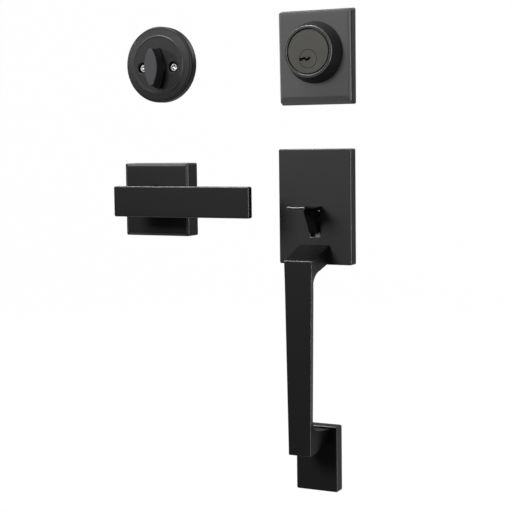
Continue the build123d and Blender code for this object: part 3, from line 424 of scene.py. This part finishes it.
def cylinder_coat(name, centre_z):
    """Thin dark plating over a turned face."""
    finish, tree, shader = new_finish(name)
    shader.inputs["Metallic"].default_value = 0.2
    shader.inputs["Specular IOR Level"].default_value = 0.28
    marks = use_group(tree, rings, Centre_Z=centre_z * MM)
    grain = use_group(tree, peel, Cloud_Scale=90.0, Cloud_Amount=0.5)
    clouded(tree, shader, plain_colour(tree, CYLINDER_SHADE), grain)
    dull = arithmetic(tree, "MULTIPLY_ADD", marks.outputs["Height"], 0.2, 0.40)
    tree.links.new(dull, shader.inputs["Roughness"])
    raised(tree, shader, marks.outputs["Height"], distance=0.00002, strength=0.5)
    return finish


housing_coat = cylinder_coat("housing_coat", CYL_Z)
plug_coat = cylinder_coat("plug_coat", PLUG_Z)


# %% Metals
def metal(name, shade, rough, pattern=None, cloud=0.25, depth=0.00001):
    """Bare or plated metal, uneven in its shine, with an optional surface pattern."""
    finish, tree, shader = new_finish(name)
    shader.inputs["Metallic"].default_value = 1.0
    grain = use_group(tree, peel, Cloud_Amount=cloud, Cloud_Scale=160.0)
    height = grain.outputs["Height"]
    if pattern:
        height = use_group(tree, pattern).outputs["Height"]
    clouded(tree, shader, plain_colour(tree, shade), grain)
    worn = arithmetic(tree, "MULTIPLY_ADD", height, rough * 0.5, rough * 0.75)
    tree.links.new(worn, shader.inputs["Roughness"])
    raised(tree, shader, height, distance=depth, strength=0.5)
    return finish


zinc = metal("zinc_steel", (0.60, 0.61, 0.60), 0.38, streaks, depth=0.00002)
spring_steel = metal("spring_steel", (0.36, 0.36, 0.37), 0.30)
brass = metal("brass", (0.78, 0.57, 0.27), 0.28)
nickel = metal("bright_screw", (0.62, 0.61, 0.60), 0.22)
black_oxide = metal("dark_screw", (0.10, 0.10, 0.105), 0.40)

# %% Nylon
nylon, tree, shader = new_finish("nylon")
shader.inputs["Subsurface Weight"].default_value = 0.15
shader.inputs["Subsurface Scale"].default_value = 0.001
shader.inputs["Base Color"].default_value = (0.80, 0.79, 0.74, 1)
grain = use_group(tree, peel)
dull = arithmetic(tree, "MULTIPLY_ADD", grain.outputs["Height"], 0.2, 0.35)
tree.links.new(dull, shader.inputs["Roughness"])
raised(tree, shader, grain.outputs["Height"], distance=0.00002, strength=0.4)

# %% [markdown]
# ## Dressing the CAD solids
# Each solid comes with the name of its material slot. One table turns that name into a finish. A second
# one gives some pieces another finish instead: the plug gets its own lathe rings, and five castings get
# lighter copies of the black coat, which are painted light.

# %% Dress the CAD solids
finishes = {
    "black_coat": coat,
    "black_cylinder": housing_coat,
    "brass": brass,
    "zinc_steel": zinc,
    "spring_steel": spring_steel,
    "bright_screw": nickel,
    "dark_screw": black_oxide,
    "nylon": nylon,
}
# Plate, collar, rose, knob and escutcheon get the black coat painted lighter, as painted light. The
# plug's coat is its real turned finish.
painted_light_and_plug_coats = {
    "deadbolt_plate": plate_painted_light_coat,
    "deadbolt_collar": collar_painted_light_coat,
    "thumbturn_rose": rose_painted_light_coat,
    "thumbturn_knob": turn_painted_light_coat,
    "escutcheon": cover_painted_light_coat,
    "cylinder_plug": plug_coat,
}
slots = {part["node"]: part["material_slot"] for part in frame["record"]["subparts"]}
for name, solid in nodes.items():
    solid.data.materials.clear()
    solid.data.materials.append(painted_light_and_plug_coats.get(name, finishes[slots[name]]))
print("dressed", len(nodes))

# %% [markdown]
# ## Making pieces
# Most castings here are loops of points joined by quads: a plate is a stack of
# rounded rectangles, a grip is a ladder of cross-sections. One function turns
# such loops into a mesh, a second one gives the piece its finish, its soft
# edges and the body that carries it. A bevel modifier rounds only the edges
# that turn sharply, and weighted normals keep the flat faces flat.

# %% Mesh helpers
def loops_to_mesh(name, loops, close_rings=False, cap_ends=True):
    """Joins loops of equal length with quads. close_rings joins the last loop to the first."""
    count = len(loops[0])
    verts = [point for loop in loops for point in loop]
    faces = []
    steps = len(loops) if close_rings else len(loops) - 1
    for row in range(steps):
        here = row * count
        there = ((row + 1) % len(loops)) * count
        for i in range(count):
            j = (i + 1) % count
            faces.append((here + i, here + j, there + j, there + i))
    if cap_ends and not close_rings:
        last = (len(loops) - 1) * count
        faces.append(tuple(range(count - 1, -1, -1)))
        faces.append(tuple(range(last, last + count)))
    mesh = bpy.data.meshes.new(name)
    mesh.from_pydata(verts, [], faces)
    shape = bmesh.new()
    shape.from_mesh(mesh)
    bmesh.ops.recalc_face_normals(shape, faces=shape.faces)
    shape.to_mesh(mesh)
    shape.free()
    return mesh


def join_meshes(name, meshes):
    """Puts several meshes into one."""
    whole = bmesh.new()
    for part in meshes:
        whole.from_mesh(part)
        bpy.data.meshes.remove(part)
    mesh = bpy.data.meshes.new(name)
    whole.to_mesh(mesh)
    whole.free()
    return mesh


def set_piece(name, mesh, finish, body, stands_for, bevel=0.0, angle=35.0, even=True):
    """Makes a mesh into a piece that rides on a body in place of a CAD node."""
    piece = bpy.data.objects.new(name, mesh)
    scene.collection.objects.link(piece)
    mesh.materials.append(finish)
    for face in mesh.polygons:
        face.use_smooth = True
    if bevel:
        soft = piece.modifiers.new("soft_edges", "BEVEL")
        soft.width = bevel * MM
        soft.segments = 3
        soft.limit_method = "ANGLE"
        soft.angle_limit = math.radians(angle)
    if even:
        level = piece.modifiers.new("flat_faces", "WEIGHTED_NORMAL")
        level.keep_sharp = True
    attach(piece, body)
    if stands_for:
        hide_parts(*stands_for)
    return piece


def ring(radius, out, x, z, sides):
    """A circle of points parallel to the door."""
    turns = [2 * math.pi * i / sides for i in range(sides)]
    return [at(x + radius * math.cos(t), out, z + radius * math.sin(t)) for t in turns]


def lathe(name, outline, x, z, sides, closed=True):
    """Turns (radius, out) points about an axis square to the door."""
    loops = [ring(r, out, x, z, sides) for r, out in outline]
    return loops_to_mesh(name, loops, close_rings=closed, cap_ends=not closed)


def rounded_box(name, low, high):
    """A plain block, given by (x, out, z) corners, for a bevel modifier to soften."""
    x0, o0, z0 = low
    x1, o1, z1 = high
    loops = [
        [at(x0, o, z0), at(x1, o, z0), at(x1, o, z1), at(x0, o, z1)]
        for o in (o0, o1)
    ]
    return loops_to_mesh(name, loops)


# %% [markdown]
# ## Deadbolt plate
# The real plate is a thin die casting. Its face is a raised field with a narrow
# border that is wider along the foot. The loops run from the outer back edge up
# and over the face, down through the round hole that the collar fills, and
# along the hollow back, where the last one closes on the first.

# %% Deadbolt plate
CORNER_STEPS = 6


def plate_loop(left, right, low, high, corner, out):
    """A rounded rectangle as an even loop of points."""
    points = []
    middles = (
        (right - corner, high - corner, 0),
        (left + corner, high - corner, 90),
        (left + corner, low + corner, 180),
        (right - corner, low + corner, 270),
    )
    for x, z, first in middles:
        for step in range(CORNER_STEPS + 1):
            turn = math.radians(first + 90 * step / CORNER_STEPS)
            points.append(at(x + corner * math.cos(turn), out, z + corner * math.sin(turn)))
    return points


def hole_loop(pattern, radius, x, z, out):
    """A circle whose points lie in the same directions as those of another loop."""
    centre = at(x, 0, z)
    points = []
    for point in pattern:
        way = math.atan2(point.z - centre.z, point.x - centre.x)
        points.append(at(x + radius * math.cos(way), out, z + radius * math.sin(way)))
    return points


PLATE_HALF_W, PLATE_HALF_H, PLATE_OUT = 33.0, 38.5, 8.0
RIM_INSET, RIM_FOOT_OUT, RIM_TOP_OUT = 1.7, 6.2, 7.85
FIELD_BREAK, HOLE_BREAK = 0.12, 0.15
BORDER, BORDER_FOOT = 1.8, 4.7
PLATE_WALL, HOLLOW_CORNER = 2.4, 0.6
CYL_BORE_R, COLLAR_SEAT_R = 18.5, 22.0


def plate_ring(inset, corner, out_at, foot_drop=0.0, foot_inset=0.0):
    """A loop of the deadbolt plate; its lower points may lie deeper and further in."""
    loop = plate_loop(
        -PLATE_HALF_W + inset,
        PLATE_HALF_W - inset,
        OUTSIDE_BOLT_Z - PLATE_HALF_H + inset + foot_inset,
        OUTSIDE_BOLT_Z + PLATE_HALF_H - inset,
        corner,
        out_at,
    )
    for point in loop:
        if point.z < OUTSIDE_BOLT_Z * MM:
            point.y += foot_drop * MM
    return loop


foot_step = RIM_TOP_OUT - RIM_FOOT_OUT
field = RIM_INSET + BORDER
foot_more = BORDER_FOOT - BORDER
back = PLATE_WALL + RIM_INSET
front_loop = plate_ring(field + FIELD_BREAK, 0.5, PLATE_OUT, 0.0, foot_more)
plate_loops = [
    plate_ring(0.0, 1.4, 0.0),
    plate_ring(RIM_INSET * 0.8, 1.4, RIM_TOP_OUT - 0.7, foot_step),
    plate_ring(RIM_INSET * 0.87, 1.3, RIM_TOP_OUT - 0.25, foot_step),
    plate_ring(RIM_INSET, 1.0, RIM_TOP_OUT, foot_step),
    plate_ring(field, 0.5, PLATE_OUT - FIELD_BREAK, 0.0, foot_more),
    front_loop,
    hole_loop(front_loop, COLLAR_SEAT_R + HOLE_BREAK, 0, CYL_Z, PLATE_OUT),
    hole_loop(front_loop, COLLAR_SEAT_R, 0, CYL_Z, PLATE_OUT - HOLE_BREAK),
    hole_loop(front_loop, COLLAR_SEAT_R, 0, CYL_Z, PLATE_OUT - PLATE_WALL),
    plate_ring(back, HOLLOW_CORNER, PLATE_OUT - PLATE_WALL),
    plate_ring(back, HOLLOW_CORNER, 0.0),
]
# The cover wears the black coat painted lighter, as painted light on the plate.
deadbolt_cover = set_piece(
    "deadbolt_cover",
    loops_to_mesh("deadbolt_cover", plate_loops, close_rings=True),
    plate_painted_light_coat,
    "trims",
    ["deadbolt_plate"],
)
print("deadbolt cover", len(deadbolt_cover.data.vertices))

# %% [markdown]
# ## The collar
# The collar is a turned shape: an outline of (radius, out) points with an arc
# wherever two outer faces meet. The bright rings in the photograph are light
# mirrored in those small radii, so a sharp corner would lose them.

# %% Collar
COLLAR_OUT, COLLAR_ROUND, FACE_R = 21.2, 1.1, 19.9
SKIRT_FOOT_R, SKIRT_R, SKIRT_ROUND = 24.6, 24.5, 0.5
LIP_R, LIP_ROUND, LIP_FOOT_OUT = 19.1, 0.6, 19.4


def arc(radius_at, out_at, size, first, last, steps=6):
    """Points of a small round in an outline, from one angle to another."""
    points = []
    for step in range(steps + 1):
        bend = math.radians(first + (last - first) * step / steps)
        points.append((radius_at + size * math.cos(bend), out_at + size * math.sin(bend)))
    return points


collar_outline = [(CYL_BORE_R, 1.0), (COLLAR_SEAT_R, 1.0), (COLLAR_SEAT_R, PLATE_OUT)]
collar_outline += [(SKIRT_FOOT_R, PLATE_OUT)]
collar_outline += arc(SKIRT_R, PLATE_OUT + SKIRT_ROUND, SKIRT_ROUND, -45, 17, 4)
collar_outline += arc(FACE_R, COLLAR_OUT - COLLAR_ROUND, COLLAR_ROUND, 17, 90)
collar_outline += arc(LIP_R, COLLAR_OUT - LIP_ROUND, LIP_ROUND, 90, 180, 4)
collar_outline += [(CYL_BORE_R, LIP_FOOT_OUT)]
# The collar wears the black coat painted lighter, as painted light.
set_piece(
    "collar_ring",
    lathe("collar_ring", collar_outline, 0, CYL_Z, sides=160),
    collar_painted_light_coat,
    "trims",
    ["deadbolt_collar"],
)
print("collar points", len(collar_outline))

# %% [markdown]
# ## The thumb-turn
# The turn is a leaf that stands on edge. It swells where it meets the rose, so
# that its foot ends in a thin lip, and its front edge is only just broken. The
# leaf and the round neck share their directions, so one loft joins them.

# %% Thumb-turn
KNOB_FRONT, LEAF_TIP, NECK_R = 22.5, 3.2, 7.6


def leaf_loop(half_w, half_h, tip, out_at, steps=12):
    """Two shallow arcs joined by short cuts, as a loop of points."""
    rise = half_w - tip / 2
    bow = (half_h**2 + rise**2) / (2 * rise)
    reach = math.asin(half_h / bow)
    points = []
    for side in (1, -1):
        for step in range(steps + 1):
            bend = -reach + 2 * reach * step / steps
            x = side * (half_w - bow + bow * math.cos(bend))
            z = side * bow * math.sin(bend)
            points.append(at(INSIDE_X + x, out_at, TURN_Z + z))
    return points


# Each size is (out, half width, half height, width of the tip).
leaf_sizes = (
    (11.5, 6.7, 17.25, 4.6),
    (11.9, 6.8, 17.3, 4.6),
    (12.3, 6.75, 17.2, 4.4),
    (13.2, 6.6, 16.5, 3.7),
    (15.0, 6.55, 16.05, LEAF_TIP),
    (18.5, 6.5, 15.9, LEAF_TIP),
    (KNOB_FRONT - 0.45, 6.5, 15.8, LEAF_TIP),
    (KNOB_FRONT - 0.12, 6.35, 15.6, LEAF_TIP),
    (KNOB_FRONT, 6.1, 15.3, LEAF_TIP),
)
leaves = [leaf_loop(half_w, half_h, tip, out_at) for out_at, half_w, half_h, tip in leaf_sizes]
neck_foot = hole_loop(leaves[0], NECK_R, INSIDE_X, TURN_Z, 10.3)
neck_top = hole_loop(leaves[0], NECK_R, INSIDE_X, TURN_Z, 11.4)
leaf_mesh = loops_to_mesh("leaf", [neck_foot, neck_top] + leaves)
shaft_outline = [(6.0, 10.4), (6.0, 5.0), (5.2, 5.0), (5.2, 4.0), (6.0, 4.0), (6.0, 3.3), (5.7, 3.0)]
shaft_mesh = lathe("shaft", shaft_outline, INSIDE_X, TURN_Z, sides=64, closed=False)
# The knob wears the black coat painted lighter, as painted light on its front.
set_piece(
    "turn_knob",
    join_meshes("turn_knob", [leaf_mesh, shaft_mesh]),
    turn_painted_light_coat,
    "thumbturn",
    ["thumbturn_knob"],
    bevel=0.15,
    angle=40,
)
print("leaf loops", len(leaves))

# %% [markdown]
# ## The pull grip
# One casting runs from the escutcheon, round two corners, down to the foot. Seen
# from the side it is a ladder: each rung joins a point of the outer line to a
# point of the inner line, and each end of a rung has its own half width. That
# gives the taper, the leaning sides and the flare at the foot with few numbers.

# %% Pull grip
THROAT_R, THROAT_OUT = 9.0, 26.2
GRIP_FRONT, GRIP_BACK = 44.8, 35.2
GRIP_TOP_Z, GRIP_FOOT_Z = -46.6, -205.0
UPPER_THROAT_Z, LOWER_THROAT_Z = -64.41, -178.2
TOP_HALF, FOOT_HALF, GRIP_LEAN = 12.0, 9.7, 2.2
BEND_OUTER_HALF, BEND_OUTER_TAPER = 12.45, 0.7
BEND_INNER_HALF, BEND_INNER_TAPER = 12.0, 2.6
BAR_STEPS, THROAT_STEPS = 10, 8
SPIGOT_Z = -196.4


def throat(centre_z, first, last):
    """Points on a rounded inner corner, as (out, z)."""
    points = []
    for step in range(THROAT_STEPS + 1):
        turn = math.radians(first + (last - first) * step / THROAT_STEPS)
        out_at = THROAT_OUT + THROAT_R * math.cos(turn)
        points.append((out_at, centre_z + THROAT_R * math.sin(turn)))
    return points


# Each rung is (outer point, inner point, outer half width, inner half width).
rungs = [
    ((9.8, -36.2), (9.8, -51.0), 13.0, 12.3),
    ((20.0, -39.2), (20.0, -53.6), 12.85, 12.1),
]
upper = throat(UPPER_THROAT_Z, 75.86, 0.0)
upper_outer = [(32.0, -42.8), (36.5, -44.1), (40.5, -45.3)]
upper_outer += [(GRIP_FRONT, z) for z in (GRIP_TOP_Z, -50.5, -54.0, -57.5, -61.0, UPPER_THROAT_Z)]
for index, (inner, outer) in enumerate(zip(upper, upper_outer)):
    share = index / (len(upper) - 1)
    outer_half = BEND_OUTER_HALF - BEND_OUTER_TAPER * share
    inner_half = BEND_INNER_HALF - BEND_INNER_TAPER * share
    rungs.append((outer, inner, outer_half, inner_half))
for step in range(1, BAR_STEPS):
    z = UPPER_THROAT_Z + (LOWER_THROAT_Z - UPPER_THROAT_Z) * step / BAR_STEPS
    half = TOP_HALF + (FOOT_HALF - TOP_HALF) * (GRIP_TOP_Z - z) / (GRIP_TOP_Z - GRIP_FOOT_Z)
    rungs.append(((GRIP_FRONT, z), (GRIP_BACK, z), half, half - GRIP_LEAN))
lower = throat(LOWER_THROAT_Z, 0.0, -84.56)
lower_outer = [(GRIP_FRONT, z) for z in (LOWER_THROAT_Z, -184.0, -190.0, -196.0, -201.0, GRIP_FOOT_Z)]
lower_outer += [(40.0, GRIP_FOOT_Z), (GRIP_BACK, GRIP_FOOT_Z), (30.0, -204.71)]
lower_halves = [10.08, 10.0, 9.9, 9.83, 9.76, 9.7, 9.7, 9.7, 9.14]
inner_halves = [7.9, 7.95, 8.05, 8.2, 8.4, 8.65, 8.95, 9.3, 9.75]
for outer, inner, half, inner_half in zip(lower_outer, lower, lower_halves, inner_halves):
    rungs.append((outer, inner, half, inner_half))
rungs.append(((20.0, -204.15), (20.0, -187.85), 8.05, 10.9))
rungs.append(((10.0, -203.6), (10.0, -188.8), 7.0, 12.5))

grip_loops = []
for (outer_out, outer_z), (inner_out, inner_z), half, inner_half in rungs:
    grip_loops.append(
        [
            at(-half, outer_out, outer_z),
            at(half, outer_out, outer_z),
            at(inner_half, inner_out, inner_z),
            at(-inner_half, inner_out, inner_z),
        ]
    )
spigot_outline = [(5.5, 10.4), (5.5, 1.0), (5.1, 0.6), (2.6, 0.6), (2.5, 0.9), (2.5, 10.2)]
spigot = lathe("spigot", spigot_outline, 0, SPIGOT_Z, 48, closed=False)
grip_mesh = join_meshes("pull_grip", [loops_to_mesh("grip_cast", grip_loops), spigot])
set_piece("pull_grip", grip_mesh, coat, "trims", ["grip_handle"], bevel=0.9, angle=28)
print("grip rungs", len(rungs))

# %% [markdown]
# ## The thumbpiece
# The thumb rests in a dished tray whose nose curls down. A deep rib under it
# reaches through the escutcheon to the pivot. The tray is lofted from
# cross-sections and smoothed by subdivision, the rib and the tail are bevelled.

# %% Thumbpiece
TRAY_ACROSS, NOSE_OUT = 8, 46.0
DISH, NOSE_DISH, UNDER_WIDTH, UNDER_BOW = 1.25, 0.7, 0.94, 0.5
PIVOT_OUT, PIVOT_Z = 3.7, -12.0
HUB_HALF, HUB_FLAT, HUB_SIDES = 3.8, 3.5, 40
PIN_BORE_R, HUB_EDGE_R, HUB_R = 2.05, 3.1, 3.4
TAIL_BACK, TAIL_LOW, TAIL_TOP = -15.0, -15.3, -12.7
FINGER_LEFT, FINGER_RIGHT, FINGER_FRONT, FINGER_TOP = 6.6, 10.5, -13.0, -5.9
# Each station is (out, half width, top, underside).
tray_stations = [
    (10.4, 7.0, -3.9, -8.2),
    (10.9, 7.05, -3.7, -8.3),
    (16.0, 7.5, -3.8, -7.4),
    (23.0, 8.0, -4.2, -7.0),
    (30.0, 8.25, -4.3, -6.5),
    (37.0, 8.3, -3.9, -5.9),
    (42.0, 8.3, -3.3, -5.2),
    (45.6, 8.2, -2.7, -5.0),
    (47.3, 8.1, -2.5, -5.6),
    (48.1, 7.95, -2.9, -6.2),
    (48.4, 7.8, -3.8, -5.6),
]
tray_loops = []
for out_at, half, top, low in tray_stations:
    dish = DISH if out_at < NOSE_OUT else NOSE_DISH
    across = [half * (2 * i / TRAY_ACROSS - 1) for i in range(TRAY_ACROSS + 1)]
    rim = [at(x, out_at, top - dish * (1 - (x / half) ** 2)) for x in across]
    under = [at(x * UNDER_WIDTH, out_at, low + UNDER_BOW * (x / half) ** 2) for x in reversed(across)]
    tray_loops.append(rim + under)
tray = loops_to_mesh("tray", tray_loops)


def side_slab(name, outline, half):
    """A slab with a side view given as (out, z) points."""
    loops = [[at(x, out_at, z) for out_at, z in outline] for x in (-half, half)]
    return loops_to_mesh(name, loops)


rib_outline = [
    (24.2, -7.2),
    (23.0, -10.4),
    (20.4, -14.6),
    (17.4, -18.8),
    (14.2, -24.6),
    (13.0, -26.4),
    (12.0, -26.6),
    (9.8, -26.6),
    (7.4, -25.2),
    (5.6, -14.6),
    (6.9, -12.0),
    (5.8, -9.5),
    (9.8, -8.2),
    (11.4, -7.2),
]
rib = side_slab("rib", rib_outline, HUB_HALF)
hub_sizes = ((-HUB_HALF, PIN_BORE_R), (-HUB_HALF, HUB_EDGE_R), (-HUB_FLAT, HUB_R))
hub_sizes += ((HUB_FLAT, HUB_R), (HUB_HALF, HUB_EDGE_R), (HUB_HALF, PIN_BORE_R))
round_turn = [2 * math.pi * i / HUB_SIDES for i in range(HUB_SIDES)]
hub_loops = []
for x, radius in hub_sizes:
    loop = []
    for bend in round_turn:
        loop.append(at(x, PIVOT_OUT + radius * math.cos(bend), PIVOT_Z + radius * math.sin(bend)))
    hub_loops.append(loop)
hub = loops_to_mesh("hub", hub_loops, close_rings=True)
tail_corner = (-HUB_HALF, TAIL_BACK, TAIL_LOW)
tail = rounded_box("tail", tail_corner, (HUB_HALF, 1.2, TAIL_TOP))
foot = rounded_box("foot", tail_corner, (FINGER_RIGHT, FINGER_FRONT, TAIL_TOP))
finger_corner = (FINGER_LEFT, TAIL_BACK, TAIL_LOW)
finger = rounded_box("finger", finger_corner, (FINGER_RIGHT, FINGER_FRONT, FINGER_TOP))
thumb_body = join_meshes("thumb_body", [rib, hub, tail, foot, finger])
# The rib wears a darker copy of the coat than its own tray: painted shade, where the tray above shades
# it.
set_piece("thumb_rib", thumb_body, thumb_painted_shade_coat, "thumb_lever", ["thumbpiece"], bevel=0.5)
thumb_tray = set_piece("thumb_tray", tray, coat, "thumb_lever", [], even=False)
smooth = thumb_tray.modifiers.new("smooth", "SUBSURF")
smooth.levels = 2
smooth.render_levels = 2
print("tray stations", len(tray_stations))

# %% [markdown]
# ## Springs
# A spring is a wire, so a curve with a round bevel is the natural way to make
# it. The lever's and the cam's springs are helices worked out point by point,
# with a straight leg at each end. The thumb spring is wound round its pin.

# %% Springs
COIL_STEPS = 28
THUMB_COIL_START, THUMB_COIL_R, THUMB_COIL_PITCH, THUMB_COIL_TURNS = 4.5, 2.8, 1.0, 2


def coil(name, points, wire, body, node):
    """A round wire through the points given in millimetres as (x, out, z)."""
    data = bpy.data.curves.new(name, "CURVE")
    data.dimensions = "3D"
    data.bevel_depth = wire / 2 * MM
    data.bevel_resolution = 3
    data.use_fill_caps = True
    line = data.splines.new("POLY")
    line.points.add(len(points) - 1)
    for spot, (x, out_at, z) in zip(line.points, points):
        spot.co = (*at(x, out_at, z), 1)
    data.materials.append(spring_steel)
    piece = bpy.data.objects.new(name, data)
    scene.collection.objects.link(piece)
    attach(piece, body)
    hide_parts(node)


def helix(radius, turns, pitch, x, z, out_at, leg):
    """A helix about an axis square to the door, with a straight leg at each end."""
    steps = int(turns * COIL_STEPS)
    points = []
    for step in range(steps + 1):
        turn = 2 * math.pi * turns * step / steps
        rise = out_at + pitch * turns * step / steps
        points.append((x + radius * math.cos(turn), rise, z + radius * math.sin(turn)))
    end = 2 * math.pi * turns
    first = (x + radius, out_at, z - leg)
    last = (
        x + radius * math.cos(end) - leg * math.sin(end),
        out_at + pitch * turns,
        z + radius * math.sin(end) + leg * math.cos(end),
    )
    return [first] + points + [last]


lever_helix = helix(radius=10.5, turns=3, pitch=1.75, x=INSIDE_X, z=0, out_at=3.4, leg=2.6)
coil("lever_coil", lever_helix, 1.4, "trims", "lever_spring")
cam_helix = helix(radius=7.1, turns=3, pitch=1.6, x=0, z=0, out_at=-6.2, leg=3.0)
coil("cam_coil", cam_helix, 1.2, "trims", "cam_spring")
thumb_points = []
for step in range(THUMB_COIL_TURNS * COIL_STEPS + 1):
    turn = 2 * math.pi * step / COIL_STEPS
    x = THUMB_COIL_START + THUMB_COIL_PITCH * step / COIL_STEPS
    out_at = PIVOT_OUT + THUMB_COIL_R * math.cos(turn)
    thumb_points.append((x, out_at, PIVOT_Z + THUMB_COIL_R * math.sin(turn)))
thumb_points.append((6.45, 6.3, -10.0))
coil("thumb_coil", thumb_points, 0.8, "trims", "thumb_spring")
print("springs", len(bpy.data.curves))
